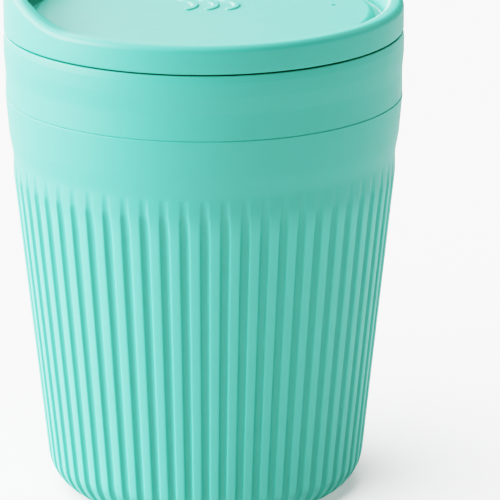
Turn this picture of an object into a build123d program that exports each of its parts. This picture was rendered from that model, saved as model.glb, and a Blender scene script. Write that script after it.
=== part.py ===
"""Rigid double-wall travel cup: ribbed tapered shell, inner liner, collar, press-on lid and turning closure disc.

Millimetres. +Z is up, the origin is the centre of the standing face and the drinking spout points along -X.
"""

from build123d import *
import os
from math import cos, radians, sin, tan

# Driving dimensions of the cup
BASE_RADIUS = 36.0            # where the straight wall line would meet the standing plane
WALL_ANGLE = 6.15             # lean of the wall from vertical, degrees
CORNER_RADIUS = 10.2          # round corner between wall and base
WALL_THICKNESS = 2.6          # shell, measured at the rib crests
AIR_GAP = 3.0                 # insulating space between shell and liner
LINER_THICKNESS = 1.8
SHELL_TOP = 95.1              # seam between shell and collar
CUP_TOP = 110.2               # top of the collar and of the liner's flange

# Ribs
RIB_COUNT = 60
GROOVE_RADIUS = 1.1
GROOVE_DEPTH = 0.95
GROOVE_FADE_START = 77.5      # height where the grooves start to run out
FADE_SLOPE = 0.22             # outward run of a groove's floor per unit of height while it fades
CORNER_SWEEP = 60.0           # degrees that a groove follows the base corner before running out

# Collar and mouth
COLLAR_RADIUS = 45.75
BEAD_RADIUS = 46.12           # the collar swells to this under its bevelled top edge
FLANGE_RADIUS = 44.35
FLANGE_HEIGHT = 2.0
MOUTH_RADIUS = 40.6
SPIGOT_RADIUS = 43.9
SPIGOT_HEIGHT = 4.0

# Lid
LID_RADIUS = 46.05
LID_BOTTOM = 110.6            # leaves a 0.4 shadow gap above the collar
LEDGE_HEIGHT = 110.3          # ledge that sits on the liner's flange
DECK_TOP = 111.4
DECK_THICKNESS = 2.2
MOAT_FLOOR = 112.0
MOAT_RADIUS = 41.5
RIM_TOP = 116.9
SPOUT_TOP = 122.3
SKIRT_RADIUS = 39.6
SKIRT_THICKNESS = 2.2
SKIRT_BOTTOM = 101.6
GASKET_MIDDLE = 106.0
GASKET_GROOVE_HEIGHT = 3.4
GASKET_GROOVE_DEPTH = 1.15

# Closure disc and what holds and seals it
DISC_RADIUS = 39.3
DISC_EDGE = 1.6               # rounding of the disc's top edge
DISC_BOTTOM = DECK_TOP + 0.1
DISC_TOP = 114.3
STEM_RADIUS = 3.15
STEM_CLEARANCE = 0.05
BOSS_RADIUS = 6.0
BOSS_BOTTOM = 105.5
CLOSED_TO_OPEN = 60.0         # turn of the disc, degrees
SPOUT_ANGLE = 180.0
SIP_RING_RADIUS = 32.8        # radius of the circle that the sip slots lie on
SIP_WIDTH = 6.0
SIP_ARC = 16.0                # degrees between the centres of a slot's round ends
SEAL_MARGIN = 1.0
SEAL_THICKNESS = 1.1
SEAL_GAP = 0.05               # running gap between the seals and the deck
VENT_RING_RADIUS = 30.3
VENT_SEAL_RADIUS = 2.2
VENT_ANGLE = 8.0              # the disc's vent hole with the disc closed
STOP_RING_RADIUS = 22.0
STOP_PIN_RADIUS = 1.2
STOP_ANGLE = -60.0            # the stop pin with the disc closed


def crest_radius(height):
    """Radius of the straight tapered line that the rib crests follow."""
    return BASE_RADIUS + height * tan(radians(WALL_ANGLE))


def on_ring(radius, angle, height=0.0):
    """Point at an angle, in degrees from +X, on a circle about the cup's axis."""
    return (radius * cos(radians(angle)), radius * sin(radians(angle)), height)


def turned(outline):
    """Solid turned about the cup's axis from a closed outline of (radius, height, corner radius)."""
    points = [(radius, height) for radius, height, corner in outline]
    corners = [corner for radius, height, corner in outline]
    with BuildPart() as body:
        with BuildSketch(Plane.XZ):
            with BuildLine():
                FilletPolyline(*points, radius=corners, close=True)
            make_face()
        revolve(axis=Axis.Z)
    return body.part


def upright(sketch, bottom, top):
    """Solid that stands from bottom to top on a sketch drawn in plan."""
    return extrude(Plane.XY.offset(bottom) * sketch, amount=top - bottom)


def rib_groove():
    """Cutter for one groove: down the wall, round the base corner, with both ends running out of the surface."""
    lean = radians(WALL_ANGLE)
    offset = GROOVE_RADIUS - GROOVE_DEPTH
    wall_offset = offset / cos(lean)

    fade_start = (crest_radius(GROOVE_FADE_START) + wall_offset, 0, GROOVE_FADE_START)
    fade_rise = 9.0
    top_end = (fade_start[0] + FADE_SLOPE * fade_rise, 0, GROOVE_FADE_START + fade_rise)

    # The corner's own arc has its centre one corner radius above the base plane.
    centre_r = crest_radius(CORNER_RADIUS) - CORNER_RADIUS / cos(lean)
    path_radius = CORNER_RADIUS + offset
    turn = radians(CORNER_SWEEP)
    tangent = path_radius * tan(turn / 2)
    leave = (centre_r + path_radius * cos(lean), CORNER_RADIUS - path_radius * sin(lean))
    corner = (leave[0] - tangent * sin(lean), 0, leave[1] - tangent * cos(lean))
    exit_angle = lean + turn
    run_out = tangent + 8.0
    bottom_end = (corner[0] - run_out * sin(exit_angle), 0, corner[2] - run_out * cos(exit_angle))

    path = FilletPolyline(top_end, fade_start, corner, bottom_end, radius=[20.0, path_radius])
    section = Plane(origin=path @ 0, z_dir=path % 0) * Circle(GROOVE_RADIUS)
    return sweep(section, path=path)


def outer_shell():
    """Ribbed outer wall with a closed base, a recess under it and a spigot for the collar."""
    recess_height = 1.4
    recess_radius = 20.0
    floor_top = 3.6
    dip_bottom = 76.4         # the crests bend inwards here
    dip_top = 81.5
    band_bottom = 86.0        # from here up the wall is smooth
    step_bottom = 88.0
    inner_top = SPIGOT_RADIUS - 1.5
    outline = [
        (0, recess_height, 0),
        (recess_radius, recess_height, 0.5),
        (recess_radius + 1.6, 0, 0.5),
        (BASE_RADIUS, 0, CORNER_RADIUS),
        (crest_radius(dip_bottom), dip_bottom, 15),
        (crest_radius(dip_bottom), dip_top, 10),
        (crest_radius(band_bottom) - 0.2, band_bottom, 15),
        (COLLAR_RADIUS + 0.12, SHELL_TOP, 0.2),
        (SPIGOT_RADIUS, SHELL_TOP, 0),
        (SPIGOT_RADIUS, SHELL_TOP + SPIGOT_HEIGHT, 0.3),
        (inner_top, SHELL_TOP + SPIGOT_HEIGHT, 0.3),
        (inner_top, step_bottom + 2.0, 1),
        (crest_radius(step_bottom) - WALL_THICKNESS, step_bottom, 1),
        (crest_radius(floor_top) - WALL_THICKNESS, floor_top, CORNER_RADIUS - WALL_THICKNESS),
        (0, floor_top, 0),
    ]
    grooves = [Rot(0, 0, turn * 360 / RIB_COUNT) * rib_groove() for turn in range(RIB_COUNT)]
    return turned(outline) - grooves


def inner_liner():
    """Smooth cup that holds the drink, with a straight mouth and a flange that sits in the collar."""
    inset = WALL_THICKNESS + AIR_GAP
    bottom = 5.2
    floor = bottom + LINER_THICKNESS
    neck = 97.0
    mouth_bottom = 100.5
    mouth_outside = MOUTH_RADIUS + 1.6
    outline = [
        (0, floor, 0),
        (crest_radius(floor) - inset - LINER_THICKNESS, floor, 9),
        (crest_radius(neck) - inset - LINER_THICKNESS, neck, 4),
        (MOUTH_RADIUS, mouth_bottom, 4),
        (MOUTH_RADIUS, CUP_TOP, 0.4),
        (FLANGE_RADIUS, CUP_TOP, 0.2),
        (FLANGE_RADIUS, CUP_TOP - FLANGE_HEIGHT, 0),
        (mouth_outside, CUP_TOP - FLANGE_HEIGHT, 0),
        (mouth_outside, mouth_bottom + 0.3, 3),
        (crest_radius(neck) - inset, neck + 0.3, 3),
        (crest_radius(bottom) - inset, bottom, 10),
        (0, bottom, 0),
    ]
    return turned(outline)


def collar_ring():
    """Smooth band between shell and lid, which swells slightly towards its bevelled top edge."""
    socket = SPIGOT_RADIUS + 0.05
    flange_seat = CUP_TOP - FLANGE_HEIGHT
    inside = SPIGOT_RADIUS - 0.9
    outline = [
        (socket, SHELL_TOP, 0),
        (COLLAR_RADIUS, SHELL_TOP, 0.2),
        (COLLAR_RADIUS, CUP_TOP - 9.0, 6),
        (BEAD_RADIUS, CUP_TOP - 5.0, 6),
        (BEAD_RADIUS, CUP_TOP - 1.7, 0.5),
        (BEAD_RADIUS - 0.5, CUP_TOP, 0.3),
        (FLANGE_RADIUS + 0.05, CUP_TOP, 0.2),
        (FLANGE_RADIUS + 0.05, flange_seat, 0),
        (inside, flange_seat, 0),
        (inside, SHELL_TOP + SPIGOT_HEIGHT + 0.05, 0),
        (socket, SHELL_TOP + SPIGOT_HEIGHT + 0.05, 0),
    ]
    return turned(outline)


def sip_slot(angle, margin=0.0):
    """Plan of a curved slot with round ends on the sip ring, widened all round by a margin."""
    arc = CenterArc((0, 0), SIP_RING_RADIUS, angle - SIP_ARC / 2, SIP_ARC)
    return SlotArc(arc, SIP_WIDTH + 2 * margin)


def stop_groove():
    """Cutter for the curved groove in the deck whose ends stop the disc's pin."""
    pin_play = 0.3
    arc = CenterArc((0, 0), STOP_RING_RADIUS, STOP_ANGLE, CLOSED_TO_OPEN)
    return upright(SlotArc(arc, 2 * (STOP_PIN_RADIUS + pin_play)), DECK_TOP - 1.3, DECK_TOP + 1)


def above_rim():
    """Cutter for everything above the rim's edge, which is level and rises in an S to the spout."""
    rise_start = -34.1
    rise_end = -41.96
    far = LID_RADIUS + 10
    ceiling = SPOUT_TOP + 10
    with BuildPart() as cutter:
        with BuildSketch(Plane.XZ):
            with BuildLine():
                FilletPolyline(
                    (far, RIM_TOP), (rise_start, RIM_TOP), (rise_end, SPOUT_TOP), (-far, SPOUT_TOP), radius=11
                )
                Polyline((-far, SPOUT_TOP), (-far, ceiling), (far, ceiling), (far, RIM_TOP))
            make_face()
        extrude(amount=far, both=True)
    return cutter.part


def rim_edges(lid, inner, outer):
    """Edges of the rim's top whose middle lies between two radii."""
    top = lid.edges().filter_by(lambda edge: edge.bounding_box().min.Z > RIM_TOP - 0.01)
    return top.filter_by(lambda edge: inner < Vector((edge @ 0.5).X, (edge @ 0.5).Y).length < outer)


def lid_body():
    """Press-on lid: rim with a raised spout, moat, deck under the disc, hub boss and plug skirt."""
    deck_bottom = DECK_TOP - DECK_THICKNESS
    bore = STEM_RADIUS + STEM_CLEARANCE
    skirt_inside = SKIRT_RADIUS - SKIRT_THICKNESS
    groove_top = GASKET_MIDDLE + GASKET_GROOVE_HEIGHT / 2
    groove_bottom = GASKET_MIDDLE - GASKET_GROOVE_HEIGHT / 2
    groove_radius = SKIRT_RADIUS - GASKET_GROOVE_DEPTH
    core_inside = 42.9
    core_outside = 44.4
    core_top = 114.6
    recess_radius = DISC_RADIUS + 0.35
    outline = [
        (bore, DECK_TOP, 0),
        (recess_radius, DECK_TOP, 0),
        (recess_radius, MOAT_FLOOR, 0.2),
        (MOAT_RADIUS, MOAT_FLOOR, 1.6),
        (MOAT_RADIUS + 1.9, SPOUT_TOP + 1, 0),
        (LID_RADIUS, SPOUT_TOP + 1, 0),
        (LID_RADIUS, LID_BOTTOM, 0.4),
        (core_outside, LID_BOTTOM, 0),
        (core_outside, core_top, 0.5),
        (core_inside, core_top, 0.5),
        (core_inside, LEDGE_HEIGHT, 0),
        (SKIRT_RADIUS, LEDGE_HEIGHT, 0),
        (SKIRT_RADIUS, groove_top, 0),
        (groove_radius, groove_top, 0),
        (groove_radius, groove_bottom, 0),
        (SKIRT_RADIUS, groove_bottom, 0),
        (SKIRT_RADIUS, SKIRT_BOTTOM, 0.5),
        (skirt_inside, SKIRT_BOTTOM, 0.5),
        (skirt_inside, deck_bottom, 1),
        (BOSS_RADIUS, deck_bottom, 0.6),
        (BOSS_RADIUS, BOSS_BOTTOM, 0.3),
        (bore, BOSS_BOTTOM, 0),
    ]
    lid = turned(outline) - above_rim()
    lid = fillet(rim_edges(lid, 0, MOAT_RADIUS + 2), radius=1.0)
    lid = fillet(rim_edges(lid, LID_RADIUS - 0.1, LID_RADIUS + 1), radius=1.5)
    vent = upright(Pos(*on_ring(VENT_RING_RADIUS, VENT_ANGLE + CLOSED_TO_OPEN)) * Circle(0.8), 100, 120)
    return lid - upright(sip_slot(SPOUT_ANGLE), 100, 120) - vent - stop_groove()


def lid_gasket():
    """Silicone ring in the plug skirt's groove, with two fins that wipe the cup's mouth."""
    seat = SKIRT_RADIUS - GASKET_GROOVE_DEPTH + 0.05
    band = SKIRT_RADIUS + 0.1
    fin = MOUTH_RADIUS - 0.25
    half = GASKET_GROOVE_HEIGHT / 2 - 0.05
    outline = [
        (seat, GASKET_MIDDLE - half, 0),
        (band, GASKET_MIDDLE - half, 0),
        (fin, GASKET_MIDDLE - half + 0.4, 0.12),
        (fin, GASKET_MIDDLE - half + 0.9, 0.12),
        (band, GASKET_MIDDLE - 0.3, 0.1),
        (band, GASKET_MIDDLE + 0.3, 0.1),
        (fin, GASKET_MIDDLE + half - 0.9, 0.12),
        (fin, GASKET_MIDDLE + half - 0.4, 0.12),
        (band, GASKET_MIDDLE + half, 0),
        (seat, GASKET_MIDDLE + half, 0),
    ]
    return turned(outline)


def steam_wave(x):
    """Plan of one wavy stroke of the disc's relief, two opposite arcs with round ends."""
    stroke_width = 1.5
    swing = 100
    radius = 5.0
    reach = radius * sin(radians(swing / 2))
    setback = radius * cos(radians(swing / 2))
    lower = CenterArc((x - setback, 0), radius, -swing / 2, swing)
    upper = CenterArc((x + setback, 2 * reach), radius, 180 - swing / 2, swing)
    return SlotArc(lower, stroke_width) + SlotArc(upper, stroke_width)


def thumb_ridge():
    """Low rounded ridge near the disc's edge that a thumb turns it by."""
    ridge = upright(Pos(*on_ring(27.0, 75)) * Rot(0, 0, 75) * SlotOverall(11, 3.4), DISC_TOP - 1, DISC_TOP + 2.0)
    return fillet(ridge.edges().group_by(Axis.Z)[-1], radius=1.2)


def closure_disc():
    """Turning disc with its sip slot, vent, stop pin, relief and the stem that holds it in the lid."""
    o_ring_top = 108.5
    o_ring_bottom = 107.5
    o_ring_seat = 2.15
    stem_step = BOSS_BOTTOM - 0.1
    stem_end_radius = 2.5
    stem_end = 103.0
    outline = [
        (0, DISC_TOP, 0),
        (DISC_RADIUS, DISC_TOP, DISC_EDGE),
        (DISC_RADIUS, DISC_BOTTOM, 0.3),
        (STEM_RADIUS, DISC_BOTTOM, 0),
        (STEM_RADIUS, o_ring_top, 0),
        (o_ring_seat, o_ring_top, 0),
        (o_ring_seat, o_ring_bottom, 0),
        (STEM_RADIUS, o_ring_bottom, 0),
        (STEM_RADIUS, stem_step, 0),
        (stem_end_radius, stem_step, 0),
        (stem_end_radius, stem_end, 0),
        (0, stem_end, 0),
    ]
    seal_top = DISC_BOTTOM + SEAL_THICKNESS
    vent_place = on_ring(VENT_RING_RADIUS, VENT_ANGLE)
    vent_seal_place = on_ring(VENT_RING_RADIUS, VENT_ANGLE + CLOSED_TO_OPEN)
    pin_place = on_ring(STOP_RING_RADIUS, STOP_ANGLE)
    disc = turned(outline)
    disc -= upright(sip_slot(SPOUT_ANGLE - CLOSED_TO_OPEN), DISC_BOTTOM - 1, DISC_TOP + 1)
    disc -= upright(sip_slot(SPOUT_ANGLE, SEAL_MARGIN), DISC_BOTTOM - 1, seal_top)
    disc -= upright(Pos(*vent_place) * Circle(0.55), DISC_BOTTOM - 1, DISC_TOP + 1)
    disc -= upright(Pos(*vent_seal_place) * Circle(VENT_SEAL_RADIUS), DISC_BOTTOM - 1, seal_top)
    disc += upright(Pos(*pin_place) * Circle(STOP_PIN_RADIUS), DISC_BOTTOM - 1.0, DISC_BOTTOM + 1)
    disc += thumb_ridge()
    for x in (-3.8, 1.0, 5.8):
        disc += upright(Pos(0, 4.0) * steam_wave(x), DISC_TOP - 0.5, DISC_TOP + 0.3)
    return disc


def sip_seal():
    """Silicone pad in the disc that covers the lid's sip hole when the disc is closed."""
    return upright(sip_slot(SPOUT_ANGLE, SEAL_MARGIN), DISC_BOTTOM - SEAL_GAP, DISC_BOTTOM + SEAL_THICKNESS)


def vent_seal():
    """Round silicone pad in the disc that covers the lid's vent hole when the disc is closed."""
    place = Pos(*on_ring(VENT_RING_RADIUS, VENT_ANGLE + CLOSED_TO_OPEN))
    return upright(place * Circle(VENT_SEAL_RADIUS), DISC_BOTTOM - SEAL_GAP, DISC_BOTTOM + SEAL_THICKNESS)


def stem_o_ring():
    """Small ring on the disc's stem that seals the hub's bore."""
    return Pos(0, 0, 108.0) * Torus(2.62, 0.45)


def disc_retainer():
    """Cap pressed on the stem's end under the hub boss, which keeps the disc in the lid."""
    top = BOSS_BOTTOM - 0.1
    outline = [
        (2.5, top, 0),
        (6.6, top, 0),
        (6.6, top - 1.5, 0.3),
        (4.6, top - 3.2, 0.5),
        (0, top - 3.2, 0),
        (0, top - 2.4, 0),
        (2.5, top - 2.4, 0),
    ]
    return turned(outline)


def main():
    """Build every piece and write one STEP file for each."""
    os.makedirs("parts", exist_ok=True)
    pieces = [
        outer_shell,
        inner_liner,
        collar_ring,
        lid_body,
        lid_gasket,
        closure_disc,
        sip_seal,
        vent_seal,
        stem_o_ring,
        disc_retainer,
    ]
    for piece in pieces:
        export_step(piece(), f"parts/{piece.__name__}.step")


main()
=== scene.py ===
"""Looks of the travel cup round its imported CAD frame: shell, collar, liner, lid, closure disc and seals."""

from math import atan2, ceil, cos, hypot, pi, radians, sin, sqrt, tan

import bmesh
import bpy
from mathutils import Matrix, Vector


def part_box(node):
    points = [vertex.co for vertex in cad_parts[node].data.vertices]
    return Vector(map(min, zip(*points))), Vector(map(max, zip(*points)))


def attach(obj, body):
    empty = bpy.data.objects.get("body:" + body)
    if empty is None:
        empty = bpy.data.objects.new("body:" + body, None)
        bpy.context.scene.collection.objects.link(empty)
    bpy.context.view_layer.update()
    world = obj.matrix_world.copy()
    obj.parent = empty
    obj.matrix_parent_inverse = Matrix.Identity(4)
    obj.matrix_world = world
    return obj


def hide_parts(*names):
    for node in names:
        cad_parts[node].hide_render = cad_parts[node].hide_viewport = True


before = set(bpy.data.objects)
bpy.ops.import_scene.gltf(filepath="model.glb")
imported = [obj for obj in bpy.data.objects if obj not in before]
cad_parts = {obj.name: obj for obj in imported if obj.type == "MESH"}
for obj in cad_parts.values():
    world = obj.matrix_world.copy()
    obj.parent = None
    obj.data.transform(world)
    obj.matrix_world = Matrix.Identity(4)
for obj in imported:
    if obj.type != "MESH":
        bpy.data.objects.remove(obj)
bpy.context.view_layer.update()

MM = 0.001                     # outlines below are in millimetres, meshes in metres
NO_GAP = 1e-7                  # vertices closer than this, in metres, are one


def top_of(node):
    """Height of a CAD node's highest point, in millimetres."""
    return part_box(node)[1][2] / MM


def foot_of(node):
    """Height of a CAD node's lowest point, in millimetres."""
    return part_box(node)[0][2] / MM


def reach_of(node):
    """Largest X of a CAD node, in millimetres, which is its radius for a round one."""
    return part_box(node)[1][0] / MM


# Heights and radii taken from the frame
SHELL_TOP = foot_of("collar_ring")
SPIGOT_TOP = top_of("outer_shell")
CUP_TOP = top_of("collar_ring")
BEAD_RADIUS = reach_of("collar_ring")
FLANGE_RADIUS = reach_of("inner_liner")
LID_RADIUS = reach_of("lid_body")
SKIRT_BOTTOM = foot_of("lid_body")
SPOUT_TOP = top_of("lid_body")
DISC_RADIUS = reach_of("closure_disc")

# Cup wall and ribs
BASE_RADIUS = 36.0
WALL_ANGLE = radians(6.15)
CORNER_RADIUS = 10.2
WALL_THICKNESS = 2.6
AIR_GAP = 3.0                  # insulating space between shell and liner
LINER_THICKNESS = 1.8
FLANGE_HEIGHT = 2.0
COLLAR_RADIUS = 45.75
SPIGOT_RADIUS = 43.9
MOUTH_RADIUS = 40.6
RIB_COUNT = 60
GROOVE_HALF_ANGLE = radians(1.5)
GROOVE_DEPTH = 0.8
GROOVE_ROUND = 1.15            # radius of the groove's hollow
FADE_START = 74.0              # height where the grooves start to run out
FADE_SLOPE = 0.22              # outward run of a groove's floor per unit of height while it fades
CORNER_SWEEP = radians(60)     # how far a groove follows the base corner before running out

# Lid
LID_BOTTOM = 110.5             # leaves a thin shadow gap above the collar
LEDGE_HEIGHT = 110.3
DECK_TOP = 111.4
DECK_THICKNESS = 2.2
MOAT_FLOOR = 112.0
MOAT_RADIUS = 41.5
RIM_TOP = 116.9
SPOUT_DIRECTION = pi
SPOUT_CREST_HALF = radians(11)
SPOUT_FOOT_HALF = radians(47)
BOSS_RADIUS = 6.0
BOSS_BOTTOM = 105.5
SKIRT_RADIUS = 39.6
SKIRT_THICKNESS = 2.2
GASKET_MIDDLE = 106.0
GASKET_GROOVE_HEIGHT = 3.4
GASKET_GROOVE_DEPTH = 1.15
LID_VENT_RADIUS = 0.8

# Closure disc
DISC_BOTTOM = DECK_TOP + 0.1
DISC_TOP = 114.3
DISC_EDGE = 1.6                # radius of the edge's rounding
SIP_RING_RADIUS = 32.8
SIP_WIDTH = 6.0
SIP_HALF_ARC = radians(8)
VENT_RING_RADIUS = 30.3
VENT_ANGLE = radians(8)        # the disc's vent hole with the disc closed
DISC_VENT_RADIUS = 0.55
CLOSED_TO_OPEN = radians(60)
STEM_RADIUS = 3.15
STEM_CLEARANCE = 0.05
SEAL_MARGIN = 1.0
SEAL_THICKNESS = 1.1
VENT_SEAL_RADIUS = 2.2
STOP_RING_RADIUS = 22.0
STOP_PIN_RADIUS = 1.2
STOP_ANGLE = radians(-60)      # the stop pin with the disc closed

# Relief of three wavy strokes on the disc, each made of two opposite arcs
WAVE_CENTRES = (-3.8, 1.0, 5.8)
WAVE_MIDDLE = 4.0              # Y of the lower arcs' centres
WAVE_RADIUS = 5.0
WAVE_HALF_SWING = radians(50)

# Thumb ridge on the disc
RIDGE_ANGLE = radians(75)
RIDGE_RING_RADIUS = 27.0
RIDGE_HALF_LENGTH = 3.8
RIDGE_HEIGHT = 1.95

# Finish
AQUA = (0.072, 0.40, 0.312)
SILICONE_GREEN = (0.05, 0.30, 0.24)
PLASTIC_ROUGHNESS = 0.5
SILICONE_ROUGHNESS = 0.6


def crest_radius(height):
    """Radius of the straight tapered line that the rib crests follow."""
    return BASE_RADIUS + height * tan(WALL_ANGLE)


def smooth(t):
    """Smooth step from 0 to 1 as t goes from 0 to 1."""
    t = min(max(t, 0.0), 1.0)
    return t * t * (3 - 2 * t)


# ---------------------------------------------------------------- mesh helpers

def rounded(outline, steps=6):
    """Points of an outline of (radius, height, corner radius), with each corner turned into an arc."""
    points = []
    count = len(outline)
    for index, (r, z, corner) in enumerate(outline):
        here = Vector((r, z))
        if corner <= 0:
            points.append(here)
            continue
        before = Vector(outline[index - 1][:2])
        after = Vector(outline[(index + 1) % count][:2])
        to_before = (before - here).normalized()
        to_after = (after - here).normalized()
        half = to_before.angle(to_after) / 2
        reach = corner / tan(half)
        centre = here + (to_before + to_after).normalized() * (corner / sin(half))
        start = here + to_before * reach - centre
        end = here + to_after * reach - centre
        sweep = start.angle_signed(end)
        arc_steps = max(2, ceil(steps * abs(sweep) / (pi / 2)))
        for step in range(arc_steps + 1):
            points.append(centre + Matrix.Rotation(-sweep * step / arc_steps, 2) @ start)
    return points


def divided(points, longest, closed=False):
    """The same line with no step longer than the given length."""
    result = []
    pairs = list(zip(points, points[1:] + points[:1])) if closed else list(zip(points, points[1:]))
    for start, end in pairs:
        cuts = max(1, ceil((end - start).length / longest))
        result.extend(start.lerp(end, cut / cuts) for cut in range(cuts))
    if not closed:
        result.append(points[-1])
    return result


def object_from(name, verts, faces):
    """A smooth-shaded mesh object from vertices in millimetres."""
    mesh = bpy.data.meshes.new(name)
    mesh.from_pydata([(x * MM, y * MM, z * MM) for x, y, z in verts], [], faces)
    mesh.update()
    work = bmesh.new()
    work.from_mesh(mesh)
    bmesh.ops.remove_doubles(work, verts=work.verts, dist=NO_GAP)
    bmesh.ops.recalc_face_normals(work, faces=work.faces)
    work.to_mesh(mesh)
    work.free()
    mesh.shade_smooth()
    piece = bpy.data.objects.new(name, mesh)
    bpy.context.scene.collection.objects.link(piece)
    return piece


def evenly(segments):
    """Angles of evenly spaced columns round the axis."""
    return [2 * pi * column / segments for column in range(segments)]


def turned(name, profile_at, angles):
    """Closed surface round the axis, from a function that gives its closed profile at an angle."""
    profiles = [profile_at(angle) for angle in angles]
    rows = len(profiles[0])
    verts = []
    for angle, profile in zip(angles, profiles):
        verts.extend((p.x * cos(angle), p.x * sin(angle), p.y) for p in profile)
    faces = []
    columns = len(angles)
    for column in range(columns):
        here = column * rows
        there = (column + 1) % columns * rows
        for row in range(rows):
            following = (row + 1) % rows
            if profiles[0][row].x < 1e-6 and profiles[0][following].x < 1e-6:
                continue
            faces.append((here + row, there + row, there + following, here + following))
    return object_from(name, verts, faces)


def keep_creases(piece, angle_deg=35):
    """Shade edges sharper than an angle as creases."""
    piece.data.set_sharp_from_angle(angle=radians(angle_deg))


# ---------------------------------------------------------------- cup

def rib_columns():
    """Angles round the shell, dense at the edges of each groove."""
    pitch = 2 * pi / RIB_COUNT
    groove_steps = 10
    crest_steps = 6
    in_groove = [GROOVE_HALF_ANGLE * sin(pi * (step / groove_steps - 0.5)) for step in range(groove_steps)]
    crest_half = pitch / 2 - GROOVE_HALF_ANGLE
    on_crest = [pitch / 2 - crest_half * cos(pi * step / crest_steps) for step in range(crest_steps)]
    return [rib * pitch + offset for rib in range(RIB_COUNT) for offset in in_groove + on_crest]


def groove_cut(angle, lift):
    """Depth of the groove pattern at an angle, with the round cutter lifted out by an amount."""
    pitch = 2 * pi / RIB_COUNT
    from_middle = abs((angle / pitch + 0.5) % 1.0 - 0.5) * pitch
    widest = 1.6                # of the groove's half width, as far as the crest's rounding reaches
    crest_fall = 1.5            # how fast the cutter leaves the crest beside the groove
    edge_round = 0.16
    clearance = 0.002           # keeps the crests just inside the outline
    across = min(from_middle / GROOVE_HALF_ANGLE, widest)
    above_surface = GROOVE_ROUND - GROOVE_DEPTH
    half_width = sqrt(GROOVE_ROUND ** 2 - above_surface ** 2)
    bowl = sqrt(max(GROOVE_ROUND ** 2 - min(across, 1) ** 2 * half_width ** 2, 0)) - above_surface
    bowl -= max(across - 1, 0) * crest_fall
    depth = bowl - lift
    return (depth + sqrt(depth ** 2 + edge_round ** 2)) / 2 - clearance


def shell_outline():
    """Shell's section, from the underside's centre round the outside and back along the inside."""
    recess_height = 1.4
    recess_radius = 20.0
    floor_top = 3.6
    dip_bottom = 76.4
    dip_top = 81.5
    band_bottom = 86.0
    step_bottom = 88.0
    inner_top = SPIGOT_RADIUS - 1.5
    return [
        (0, recess_height, 0),
        (recess_radius, recess_height, 0.5),
        (recess_radius + 1.6, 0, 0.5),
        (BASE_RADIUS, 0, CORNER_RADIUS),
        (crest_radius(dip_bottom), dip_bottom, 15),
        (crest_radius(dip_bottom), dip_top, 10),
        (crest_radius(band_bottom) - 0.2, band_bottom, 15),
        (COLLAR_RADIUS + 0.12, SHELL_TOP, 0.2),
        (SPIGOT_RADIUS, SHELL_TOP, 0),
        (SPIGOT_RADIUS, SPIGOT_TOP, 0.3),
        (inner_top, SPIGOT_TOP, 0.3),
        (inner_top, step_bottom + 2.0, 1),
        (crest_radius(step_bottom) - WALL_THICKNESS, step_bottom, 1),
        (crest_radius(floor_top) - WALL_THICKNESS, floor_top, CORNER_RADIUS - WALL_THICKNESS),
        (0, floor_top, 0),
    ]


def outer_shell():
    """Ribbed shell. Its grooves run out at the top in pointed tips and at the bottom under the corner."""
    corner_centre = Vector((crest_radius(CORNER_RADIUS) - CORNER_RADIUS / cos(WALL_ANGLE), CORNER_RADIUS))
    base = rounded(shell_outline(), steps=20)
    profile = divided(base, 5.0, closed=True)
    inside_from = max(range(len(profile)), key=lambda i: profile[i].y)
    grooves_inner_end = 24
    grooves_top_end = 90
    steepest = 1.2              # limit that keeps the cutter's drop finite

    def lift(point):
        """How far the groove cutter has left the surface at a point of the section."""
        line = crest_radius(FADE_START) + FADE_SLOPE * (point.y - FADE_START)
        up = max(line - point.x, 0) if point.y > FADE_START else 0
        spoke = point - corner_centre
        turned_by = atan2(-spoke.y, spoke.x)
        under = max(turned_by - CORNER_SWEEP, 0)
        drop = (CORNER_RADIUS + GROOVE_ROUND - GROOVE_DEPTH) * (1 / cos(min(under, steepest)) - 1)
        return up + drop

    def profile_at(angle):
        section = []
        for index, point in enumerate(profile):
            before = profile[index - 1]
            after = profile[(index + 1) % len(profile)]
            grooved = index < inside_from and point.x > grooves_inner_end and 0 <= point.y < grooves_top_end
            depth = groove_cut(angle, lift(point)) if grooved else 0.0
            along = (after - before).normalized()
            section.append(point - Vector((along.y, -along.x)) * depth)
        return section

    piece = turned("ribbed_shell", profile_at, rib_columns())
    keep_creases(piece, angle_deg=50)
    return piece


def inner_liner():
    """Smooth inner cup with a straight mouth and a flange."""
    inset = WALL_THICKNESS + AIR_GAP
    bottom = 5.2
    floor = bottom + LINER_THICKNESS
    neck = 97.0
    mouth_bottom = 100.5
    outside = MOUTH_RADIUS + 1.6
    outline = [
        (0, floor, 0),
        (crest_radius(floor) - inset - LINER_THICKNESS, floor, 9),
        (crest_radius(neck) - inset - LINER_THICKNESS, neck, 4),
        (MOUTH_RADIUS, mouth_bottom, 4),
        (MOUTH_RADIUS, CUP_TOP, 0.45),
        (FLANGE_RADIUS, CUP_TOP, 0.2),
        (FLANGE_RADIUS, CUP_TOP - FLANGE_HEIGHT, 0.1),
        (outside, CUP_TOP - FLANGE_HEIGHT, 0.2),
        (outside, mouth_bottom + 0.3, 3),
        (crest_radius(neck) - inset, neck + 0.3, 3),
        (crest_radius(bottom) - inset, bottom, 10),
        (0, bottom, 0),
    ]
    profile = divided(rounded(outline, steps=14), 6.0, closed=True)
    piece = turned("liner_cup", lambda angle: profile, evenly(240))
    keep_creases(piece)
    return piece


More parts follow.
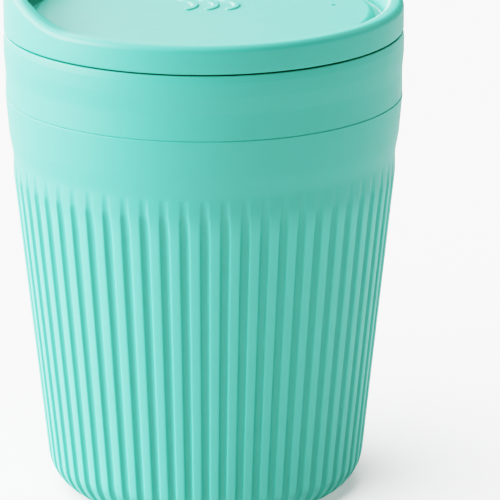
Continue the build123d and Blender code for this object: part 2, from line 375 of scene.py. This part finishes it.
def collar_ring():
    """Smooth band between shell and lid, which swells slightly towards its bevelled top edge."""
    fit = 0.05
    socket = SPIGOT_RADIUS + fit
    inside = SPIGOT_RADIUS - 0.9
    flange_seat = CUP_TOP - FLANGE_HEIGHT
    outline = [
        (socket, SHELL_TOP, 0.1),
        (COLLAR_RADIUS, SHELL_TOP, 0.25),
        (COLLAR_RADIUS, CUP_TOP - 9.0, 6),
        (BEAD_RADIUS, CUP_TOP - 5.0, 6),
        (BEAD_RADIUS, CUP_TOP - 1.7, 1.2),
        (BEAD_RADIUS - 0.2, CUP_TOP, 0.3),
        (FLANGE_RADIUS + fit, CUP_TOP, 0.2),
        (FLANGE_RADIUS + fit, flange_seat, 0),
        (inside, flange_seat, 0.2),
        (inside, SPIGOT_TOP + fit, 0.2),
        (socket, SPIGOT_TOP + fit, 0),
    ]
    profile = divided(rounded(outline, steps=14), 3.0, closed=True)
    piece = turned("collar_band", lambda angle: profile, evenly(360))
    keep_creases(piece)
    return piece


# ---------------------------------------------------------------- lid

def rim_height(angle):
    """Height of the lid's rim: level round most of the lid and rising in an S to the drinking spout."""
    away = abs((angle - SPOUT_DIRECTION + pi) % (2 * pi) - pi)
    rise = smooth((SPOUT_FOOT_HALF - away) / (SPOUT_FOOT_HALF - SPOUT_CREST_HALF))
    return RIM_TOP + (SPOUT_TOP - RIM_TOP) * rise


def lid_body():
    """Lid with rim, spout, moat, deck, hub boss and the plug skirt that holds the gasket."""
    bore = STEM_RADIUS + STEM_CLEARANCE
    deck_bottom = DECK_TOP - DECK_THICKNESS
    skirt_inside = SKIRT_RADIUS - SKIRT_THICKNESS
    gasket_seat = SKIRT_RADIUS - GASKET_GROOVE_DEPTH
    gasket_low = GASKET_MIDDLE - GASKET_GROOVE_HEIGHT / 2
    gasket_high = GASKET_MIDDLE + GASKET_GROOVE_HEIGHT / 2
    recess_radius = DISC_RADIUS + 0.35
    inner_lean = 0.185          # outward lean of the rim's inside per unit of height
    core_outside = 44.4
    core_inside = 42.9
    core_top = 114.6

    def profile_at(angle):
        crest = rim_height(angle)
        inner_top = MOAT_RADIUS + (crest - MOAT_FLOOR) * inner_lean
        outline = [
            (bore, DECK_TOP, 0.15),
            (recess_radius, DECK_TOP, 0),
            (recess_radius, MOAT_FLOOR, 0.15),
            (MOAT_RADIUS, MOAT_FLOOR, 0.5),
            (inner_top, crest, 0.9),
            (LID_RADIUS, crest, 1.55),
            (LID_RADIUS, LID_BOTTOM, 0.45),
            (core_outside, LID_BOTTOM, 0.1),
            (core_outside, core_top, 0.5),
            (core_inside, core_top, 0.5),
            (core_inside, LEDGE_HEIGHT, 0.1),
            (SKIRT_RADIUS, LEDGE_HEIGHT, 0),
            (SKIRT_RADIUS, gasket_high, 0.1),
            (gasket_seat, gasket_high, 0),
            (gasket_seat, gasket_low, 0),
            (SKIRT_RADIUS, gasket_low, 0.1),
            (SKIRT_RADIUS, SKIRT_BOTTOM, 0.5),
            (skirt_inside, SKIRT_BOTTOM, 0.5),
            (skirt_inside, deck_bottom, 1),
            (BOSS_RADIUS, deck_bottom, 0.6),
            (BOSS_RADIUS, BOSS_BOTTOM, 0.3),
            (bore, BOSS_BOTTOM, 0.2),
        ]
        return rounded(outline, steps=10)

    piece = turned("lid_shell", profile_at, evenly(360))
    below_deck = 105
    carve(piece, slot_cutter("lid_sip_cutter", SPOUT_DIRECTION, below_deck, DECK_TOP, lip=0.25))
    vent_place = ring_point(VENT_RING_RADIUS, VENT_ANGLE + CLOSED_TO_OPEN)
    carve(piece, round_post("lid_vent_cutter", vent_place, LID_VENT_RADIUS, below_deck, DECK_TOP + 2))
    carve(piece, stop_groove_cutter())
    keep_creases(piece)
    return piece


def ring_point(radius, angle):
    """Point in plan on a circle about the axis."""
    return Vector((radius * cos(angle), radius * sin(angle)))


def slot_plan(radius, angle, half_arc, half_width, round_steps=14, arc_steps=20):
    """Closed plan outline of a curved slot with round ends."""
    points = []
    for step in range(arc_steps + 1):
        points.append(ring_point(radius + half_width, angle - half_arc + 2 * half_arc * step / arc_steps))
    end = ring_point(radius, angle + half_arc)
    for step in range(1, round_steps):
        points.append(end + ring_point(half_width, angle + half_arc + pi * step / round_steps))
    for step in range(arc_steps + 1):
        points.append(ring_point(radius - half_width, angle + half_arc - 2 * half_arc * step / arc_steps))
    start = ring_point(radius, angle - half_arc)
    for step in range(1, round_steps):
        points.append(start + ring_point(half_width, angle - half_arc + pi + pi * step / round_steps))
    return points


def stacked(name, loops):
    """Closed solid through plan outlines of equal length, given from the bottom up as (points, height)."""
    count = len(loops[0][0])
    verts = [(p.x, p.y, height) for points, height in loops for p in points]
    faces = [tuple(reversed(range(count)))]
    for level in range(len(loops) - 1):
        low = level * count
        high = low + count
        for i in range(count):
            following = (i + 1) % count
            faces.append((low + i, low + following, high + following, high + i))
    last = (len(loops) - 1) * count
    faces.append(tuple(last + i for i in range(count)))
    return object_from(name, verts, faces)


def slot_cutter(name, angle, bottom, surface, lip):
    """Cutter for a sip slot whose edge is rounded where it meets a surface above."""
    def plan(extra):
        return slot_plan(SIP_RING_RADIUS, angle, SIP_HALF_ARC, SIP_WIDTH / 2 + extra)

    loops = [(plan(0), bottom)]
    lip_steps = 6
    for step in range(lip_steps + 1):
        turn = pi / 2 * step / lip_steps
        loops.append((plan(lip * (1 - cos(turn))), surface - lip + lip * sin(turn)))
    loops.append((plan(lip), surface + 1.5))
    return stacked(name, loops)


def round_post(name, centre, radius, bottom, top):
    """Upright round solid on a point in plan."""
    circle = [centre + ring_point(radius, turn) for turn in evenly(32)]
    return stacked(name, [(circle, bottom), (circle, top)])


def stop_groove_cutter():
    """Cutter for the curved groove in the deck that the disc's stop pin runs in."""
    pin_play = 0.3
    middle = STOP_ANGLE + CLOSED_TO_OPEN / 2
    plan = slot_plan(STOP_RING_RADIUS, middle, CLOSED_TO_OPEN / 2, STOP_PIN_RADIUS + pin_play)
    return stacked("stop_groove_cutter", [(plan, DECK_TOP - 1.3), (plan, DECK_TOP + 1)])


def carve(piece, cutter, operation="DIFFERENCE"):
    """Cut one closed mesh out of another, or with UNION weld it on, and delete the second one."""
    cut = piece.modifiers.new("cut", "BOOLEAN")
    cut.operation = operation
    cut.solver = "EXACT"
    cut.object = cutter
    bpy.context.view_layer.update()
    evaluated = piece.evaluated_get(bpy.context.evaluated_depsgraph_get())
    carved = bpy.data.meshes.new_from_object(evaluated)
    piece.modifiers.clear()
    piece.data = carved
    bpy.data.objects.remove(cutter)


# ---------------------------------------------------------------- closure disc

def wave_distance(x, y):
    """Distance in plan from the centre line of the nearest of three wavy strokes."""
    reach = WAVE_RADIUS * sin(WAVE_HALF_SWING)
    setback = WAVE_RADIUS * cos(WAVE_HALF_SWING)
    nearest = DISC_RADIUS
    for stroke_x in WAVE_CENTRES:
        for side, centre_y in ((1, WAVE_MIDDLE), (-1, WAVE_MIDDLE + 2 * reach)):
            dx = side * (x - stroke_x + side * setback)
            dy = y - centre_y
            if abs(atan2(dy, dx)) <= WAVE_HALF_SWING:
                gap = abs(hypot(dx, dy) - WAVE_RADIUS)
            else:
                gap = min(hypot(dx - setback, dy - reach), hypot(dx - setback, dy + reach))
            nearest = min(nearest, gap)
    return nearest


def relief(x, y):
    """Height of the moulded relief above the disc's face."""
    height = 0.3
    half_width = 0.75
    edge = 0.3
    return height * smooth((half_width + edge / 2 - wave_distance(x, y)) / edge)


def ridge_height(x, y):
    """Height of the thumb ridge above the disc's face."""
    half_width = 1.95
    shoulder = 1.5
    along = x * cos(RIDGE_ANGLE) + y * sin(RIDGE_ANGLE) - RIDGE_RING_RADIUS
    across = -x * sin(RIDGE_ANGLE) + y * cos(RIDGE_ANGLE)
    gap = hypot(max(abs(along) - RIDGE_HALF_LENGTH, 0), across)
    return RIDGE_HEIGHT * sqrt(smooth((half_width - gap) / shoulder))


def closure_disc():
    """Turning disc: softly edged face with relief and thumb ridge, sip slot, vent hole, stop pin and stem."""
    fine_radius = 16.0          # the relief lies inside this
    fine_rings = 88
    coarse_rings = 50
    face_radius = DISC_RADIUS - DISC_EDGE - 0.1
    inner_rings = [fine_radius * ring / fine_rings for ring in range(fine_rings + 1)]
    coarse_width = face_radius - fine_radius
    outer_rings = [fine_radius + coarse_width * ring / coarse_rings for ring in range(1, coarse_rings + 1)]
    o_ring_top = 108.5
    o_ring_bottom = 107.5
    o_ring_seat = 2.15
    stem_step = 105.4
    stem_end_radius = 2.5
    stem_end = 103.0
    outline = [
        (face_radius, DISC_TOP, 0),
        (DISC_RADIUS, DISC_TOP, DISC_EDGE),
        (DISC_RADIUS, DISC_BOTTOM, 0.3),
        (STEM_RADIUS, DISC_BOTTOM, 0.1),
        (STEM_RADIUS, o_ring_top, 0),
        (o_ring_seat, o_ring_top, 0),
        (o_ring_seat, o_ring_bottom, 0),
        (STEM_RADIUS, o_ring_bottom, 0),
        (STEM_RADIUS, stem_step, 0),
        (stem_end_radius, stem_step, 0),
        (stem_end_radius, stem_end, 0.2),
        (0, stem_end, 0),
    ]
    around = rounded(outline, steps=10)[1:]
    face = [Vector((radius, DISC_TOP)) for radius in inner_rings + outer_rings]

    def profile_at(angle):
        section = []
        for point in face:
            x = point.x * cos(angle)
            y = point.x * sin(angle)
            section.append(point + Vector((0, max(relief(x, y), ridge_height(x, y)))))
        return section + around

    piece = turned("closure_disc_face", profile_at, evenly(360))
    below = DISC_BOTTOM - 1
    seal_top = DISC_BOTTOM + SEAL_THICKNESS
    vent_place = ring_point(VENT_RING_RADIUS, VENT_ANGLE)
    vent_seal_place = ring_point(VENT_RING_RADIUS, VENT_ANGLE + CLOSED_TO_OPEN)
    pin_place = ring_point(STOP_RING_RADIUS, STOP_ANGLE)
    seat = slot_plan(SIP_RING_RADIUS, SPOUT_DIRECTION, SIP_HALF_ARC, SIP_WIDTH / 2 + SEAL_MARGIN)
    carve(piece, slot_cutter("disc_slot_cutter", SPOUT_DIRECTION - CLOSED_TO_OPEN, below, DISC_TOP, lip=0.5))
    carve(piece, round_post("vent_cutter", vent_place, DISC_VENT_RADIUS, below, DISC_TOP + 1))
    carve(piece, stacked("seal_seat_cutter", [(seat, below), (seat, seal_top)]))
    carve(piece, round_post("vent_seat_cutter", vent_seal_place, VENT_SEAL_RADIUS, below, seal_top))
    carve(piece, round_post("stop_pin", pin_place, STOP_PIN_RADIUS, below, DISC_BOTTOM + 1), "UNION")
    keep_creases(piece)
    return piece


# ---------------------------------------------------------------- seals

def lid_gasket():
    """Silicone ring with two soft fins round the plug skirt."""
    seat = SKIRT_RADIUS - GASKET_GROOVE_DEPTH + 0.05
    band = SKIRT_RADIUS + 0.1
    fin = MOUTH_RADIUS - 0.25
    low = GASKET_MIDDLE - GASKET_GROOVE_HEIGHT / 2 + 0.05
    high = GASKET_MIDDLE + GASKET_GROOVE_HEIGHT / 2 - 0.05
    corner = 0.2
    outline = [
        (seat, low, corner),
        (band, low, corner),
        (fin, low + 0.4, corner),
        (fin, low + 0.9, corner),
        (band, GASKET_MIDDLE - 0.3, corner),
        (band, GASKET_MIDDLE + 0.3, corner),
        (fin, high - 0.9, corner),
        (fin, high - 0.4, corner),
        (band, high, corner),
        (seat, high, corner),
    ]
    profile = rounded(outline, steps=12)
    return turned("gasket_ring", lambda angle: profile, evenly(240))


# ---------------------------------------------------------------- materials

def shade(colour, factor, lift=0.0):
    """RGBA of a colour made lighter or darker by a factor and then lifted by an amount."""
    return (*[min(c * factor + lift, 1) for c in colour], 1)


class Nodes:
    """A material's node tree, with short ways to add the nodes used here."""

    def __init__(self, name):
        self.material = bpy.data.materials.new(name)
        self.material.use_nodes = True
        self.tree = self.material.node_tree
        self.shader = self.tree.nodes["Principled BSDF"]

    def place(self):
        """Output of a point's place on the piece."""
        return self.tree.nodes.new("ShaderNodeTexCoord").outputs["Object"]

    def link(self, output, target):
        """Join an output to an input."""
        self.tree.links.new(output, target)

    def noise(self, scale, detail):
        """Output of a noise texture over the piece."""
        noise = self.tree.nodes.new("ShaderNodeTexNoise")
        noise.inputs["Scale"].default_value = scale
        noise.inputs["Detail"].default_value = detail
        self.link(self.place(), noise.inputs["Vector"])
        return noise.outputs["Fac"]

    def mapped(self, value, start, end, low=0.0, high=1.0, kind="LINEAR"):
        """Output that goes from low to high as a value goes from start to end."""
        mapping = self.tree.nodes.new("ShaderNodeMapRange")
        mapping.interpolation_type = kind
        mapping.inputs["From Min"].default_value = start
        mapping.inputs["From Max"].default_value = end
        mapping.inputs["To Min"].default_value = low
        mapping.inputs["To Max"].default_value = high
        self.link(value, mapping.inputs["Value"])
        return mapping.outputs["Result"]

    def maths(self, operation, *values):
        """Output of a sum, whose values are numbers or other nodes' outputs."""
        maths = self.tree.nodes.new("ShaderNodeMath")
        maths.operation = operation
        for slot, value in zip(maths.inputs, values):
            if isinstance(value, (int, float)):
                slot.default_value = value
            else:
                self.link(value, slot)
        return maths.outputs["Value"]

    def mixed(self, amount, first, second):
        """Colour between two others. The first is RGBA or another node's output, the second is RGBA."""
        mix = self.tree.nodes.new("ShaderNodeMix")
        mix.data_type = "RGBA"
        if isinstance(first, tuple):
            mix.inputs["A"].default_value = first
        else:
            self.link(first, mix.inputs["A"])
        mix.inputs["B"].default_value = second
        self.link(amount, mix.inputs["Factor"])
        return mix.outputs["Result"]


def painted_crest_highlight(nodes, finish, colour):
    """The shell's colour, made paler on the rib crests: a painted highlight where light catches the crests.
    """
    split = nodes.tree.nodes.new("ShaderNodeSeparateXYZ")
    nodes.link(nodes.place(), split.inputs["Vector"])
    flat = nodes.tree.nodes.new("ShaderNodeCombineXYZ")
    nodes.link(split.outputs["X"], flat.inputs["X"])
    nodes.link(split.outputs["Y"], flat.inputs["Y"])
    radius = nodes.tree.nodes.new("ShaderNodeVectorMath")
    radius.operation = "LENGTH"
    nodes.link(flat.outputs["Vector"], radius.inputs["Vector"])
    lean = -tan(WALL_ANGLE)
    upright_radius = nodes.maths("MULTIPLY_ADD", split.outputs["Z"], lean, radius.outputs["Value"])
    groove_edge = (BASE_RADIUS - 0.45) * MM
    crest = (BASE_RADIUS - 0.05) * MM
    on_crest = nodes.mapped(upright_radius, groove_edge, crest, kind="SMOOTHSTEP")
    smooth_wall = (FADE_START + 5) * MM
    full_ribs = (FADE_START - 3) * MM
    on_ribs = nodes.mapped(split.outputs["Z"], smooth_wall, full_ribs, kind="SMOOTHSTEP")
    # the paler colour on the crests is a painted highlight
    return nodes.mixed(nodes.maths("MULTIPLY", on_crest, on_ribs), finish, shade(colour, 1.2, 0.01))


def painted_edge_highlight(nodes, finish, colour):
    """A colour made slightly lighter on sharp outer edges: a painted highlight where light catches them."""
    geometry = nodes.tree.nodes.new("ShaderNodeNewGeometry")
    # pointiness lifts the colour on sharp edges: painted edge highlight
    edge = nodes.mapped(geometry.outputs["Pointiness"], 0.52, 0.62, high=0.25)
    return nodes.mixed(edge, finish, shade(colour, 1.18, 0.03))


def fine_grain(nodes, strength):
    """Bump of the mould's fine grain."""
    bump = nodes.tree.nodes.new("ShaderNodeBump")
    bump.inputs["Strength"].default_value = strength
    bump.inputs["Distance"].default_value = 0.0002
    nodes.link(nodes.noise(2400, 2), bump.inputs["Height"])
    nodes.link(bump.outputs["Normal"], nodes.shader.inputs["Normal"])


def moulded_plastic(name, colour, roughness, ribbed=False):
    """Satin moulded plastic: fine surface grain, faint flow variation and slightly lighter sharp edges, which
    are a painted highlight.
    """
    nodes = Nodes(name)
    nodes.shader.inputs["IOR"].default_value = 1.49
    nodes.shader.inputs["Subsurface Weight"].default_value = 0.08
    nodes.shader.inputs["Subsurface Radius"].default_value = (0.5, 1.0, 0.9)
    nodes.shader.inputs["Subsurface Scale"].default_value = 0.002

    finish = nodes.mixed(nodes.noise(28, 3), shade(colour, 0.985), shade(colour, 1.015))
    # painted highlight on sharp edges
    finish = painted_edge_highlight(nodes, finish, colour)
    if ribbed:
        # painted highlight on the rib crests
        finish = painted_crest_highlight(nodes, finish, colour)
    nodes.link(finish, nodes.shader.inputs["Base Color"])

    unevenness = 0.04
    gloss = nodes.mapped(nodes.noise(180, 4), 0, 1, roughness - unevenness, roughness + unevenness)
    nodes.link(gloss, nodes.shader.inputs["Roughness"])
    fine_grain(nodes, 0.02)
    return nodes.material


def shell_plastic():
    """Aqua plastic of the ribbed shell."""
    return moulded_plastic("aqua_ribbed_plastic", AQUA, PLASTIC_ROUGHNESS, ribbed=True)


def smooth_plastic():
    """Aqua plastic of every smooth hard piece."""
    return moulded_plastic("aqua_plastic", AQUA, PLASTIC_ROUGHNESS)


def seal_silicone():
    """Darker, duller silicone of the gasket and the small seals."""
    return moulded_plastic("aqua_silicone", SILICONE_GREEN, SILICONE_ROUGHNESS)


# ---------------------------------------------------------------- stage

def soft_light(name, azimuth, elevation, width, strength):
    """Broad, distant light. Azimuth runs from the camera's side (-Y) towards +X, all angles in degrees."""
    light = bpy.data.lights.new(name, "SUN")
    light.energy = strength
    light.angle = radians(width)
    lamp = bpy.data.objects.new(name, light)
    bpy.context.scene.collection.objects.link(lamp)
    side = radians(azimuth)
    height = radians(elevation)
    towards = Vector((sin(side) * cos(height), -cos(side) * cos(height), sin(height)))
    lamp.rotation_euler = towards.to_track_quat("Z", "Y").to_euler()
    return lamp


def floor_paper():
    """Paper that looks white, but throws back less light on to the cup than white paper would."""
    seen_white = 0.85
    thrown_back = 0.34
    nodes = Nodes("floor_paper")
    nodes.shader.inputs["Roughness"].default_value = 0.9
    nodes.shader.inputs["Specular IOR Level"].default_value = 0.0
    nodes.shader.inputs["Emission Color"].default_value = (1, 1, 1, 1)
    nodes.shader.inputs["Emission Strength"].default_value = 0.3
    ray = nodes.tree.nodes.new("ShaderNodeLightPath")
    whiteness = nodes.mapped(ray.outputs["Is Camera Ray"], 0, 1, thrown_back, seen_white)
    nodes.link(whiteness, nodes.shader.inputs["Base Color"])
    return nodes.material


def paper_floor():
    """Pale seamless floor, far larger than the view."""
    reach = 12.0
    mesh = bpy.data.meshes.new("floor")
    corners = [(-reach, -reach, 0), (reach, -reach, 0), (reach, reach, 0), (-reach, reach, 0)]
    mesh.from_pydata(corners, [], [(0, 1, 2, 3)])
    floor = bpy.data.objects.new("floor", mesh)
    bpy.context.scene.collection.objects.link(floor)
    floor.data.materials.append(floor_paper())
    return floor


def studio():
    """Soft overhead, three side lights that miss the floor, and one light for the floor alone."""
    floor = paper_floor()
    soft_light("overhead_softbox", -90, 65, 90, 3.2)

    not_floor = bpy.data.collections.new("all_but_floor")
    not_floor.objects.link(floor)
    not_floor.collection_objects[0].light_linking.link_state = "EXCLUDE"
    side_lights = (
        soft_light("left_softbox", -90, 15, 50, 8.95),
        soft_light("back_left_softbox", -150, 15, 50, 4.84),
        soft_light("right_rim_softbox", 120, 45, 60, 0.82),
    )
    for lamp in side_lights:
        lamp.light_linking.receiver_collection = not_floor

    only_floor = bpy.data.collections.new("only_floor")
    only_floor.objects.link(floor)
    soft_light("floor_softbox", -70, 50, 90, 10.4).light_linking.receiver_collection = only_floor

    world = bpy.data.worlds.new("surround")
    world.use_nodes = True
    world.node_tree.nodes["Background"].inputs["Color"].default_value = (1, 1, 1, 1)
    world.node_tree.nodes["Background"].inputs["Strength"].default_value = 0.03
    bpy.context.scene.world = world


def camera():
    """Long lens, a little above the lid, looking down at the front of the cup."""
    lens = bpy.data.cameras.new("camera")
    lens.lens = 359.74
    lens.sensor_width = 36.0
    lens.clip_start = 0.05
    lens.clip_end = 60
    view = bpy.data.objects.new("camera", lens)
    bpy.context.scene.collection.objects.link(view)
    elevation = radians(13.82)
    distance = 1.1507
    roll = radians(-0.09)
    seam = CUP_TOP * MM
    view.location = (0, -distance * cos(elevation), seam + distance * sin(elevation))
    aim = Vector((0.010537, 0, 0.056695))
    look = (aim - view.location).to_track_quat("-Z", "Y")
    view.rotation_euler = (look @ Matrix.Rotation(roll, 4, "Z").to_quaternion()).to_euler()
    bpy.context.scene.camera = view


# ---------------------------------------------------------------- assembly

def place(piece, node, body, material):
    """Give a piece its material and slot, and let it stand for a CAD node."""
    piece.data.materials.clear()
    piece.data.materials.append(material)
    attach(piece, body)
    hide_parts(node)


def main():
    """Set the stage, and put each finished piece on its body in place of its CAD node."""
    camera()
    studio()
    bpy.context.scene.view_settings.view_transform = "Filmic"
    bpy.context.scene.view_settings.look = "Very High Contrast"
    body_plastic = smooth_plastic()
    silicone = seal_silicone()
    place(outer_shell(), "outer_shell", "cup", shell_plastic())
    place(inner_liner(), "inner_liner", "cup", body_plastic)
    place(collar_ring(), "collar_ring", "cup", body_plastic)
    place(lid_body(), "lid_body", "lid", body_plastic)
    place(lid_gasket(), "lid_gasket", "lid", silicone)
    place(closure_disc(), "closure_disc", "disc", body_plastic)
    for node in ("sip_seal", "vent_seal", "stem_o_ring"):
        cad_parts[node].material_slots[0].material = silicone
    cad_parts["disc_retainer"].material_slots[0].material = body_plastic


main()
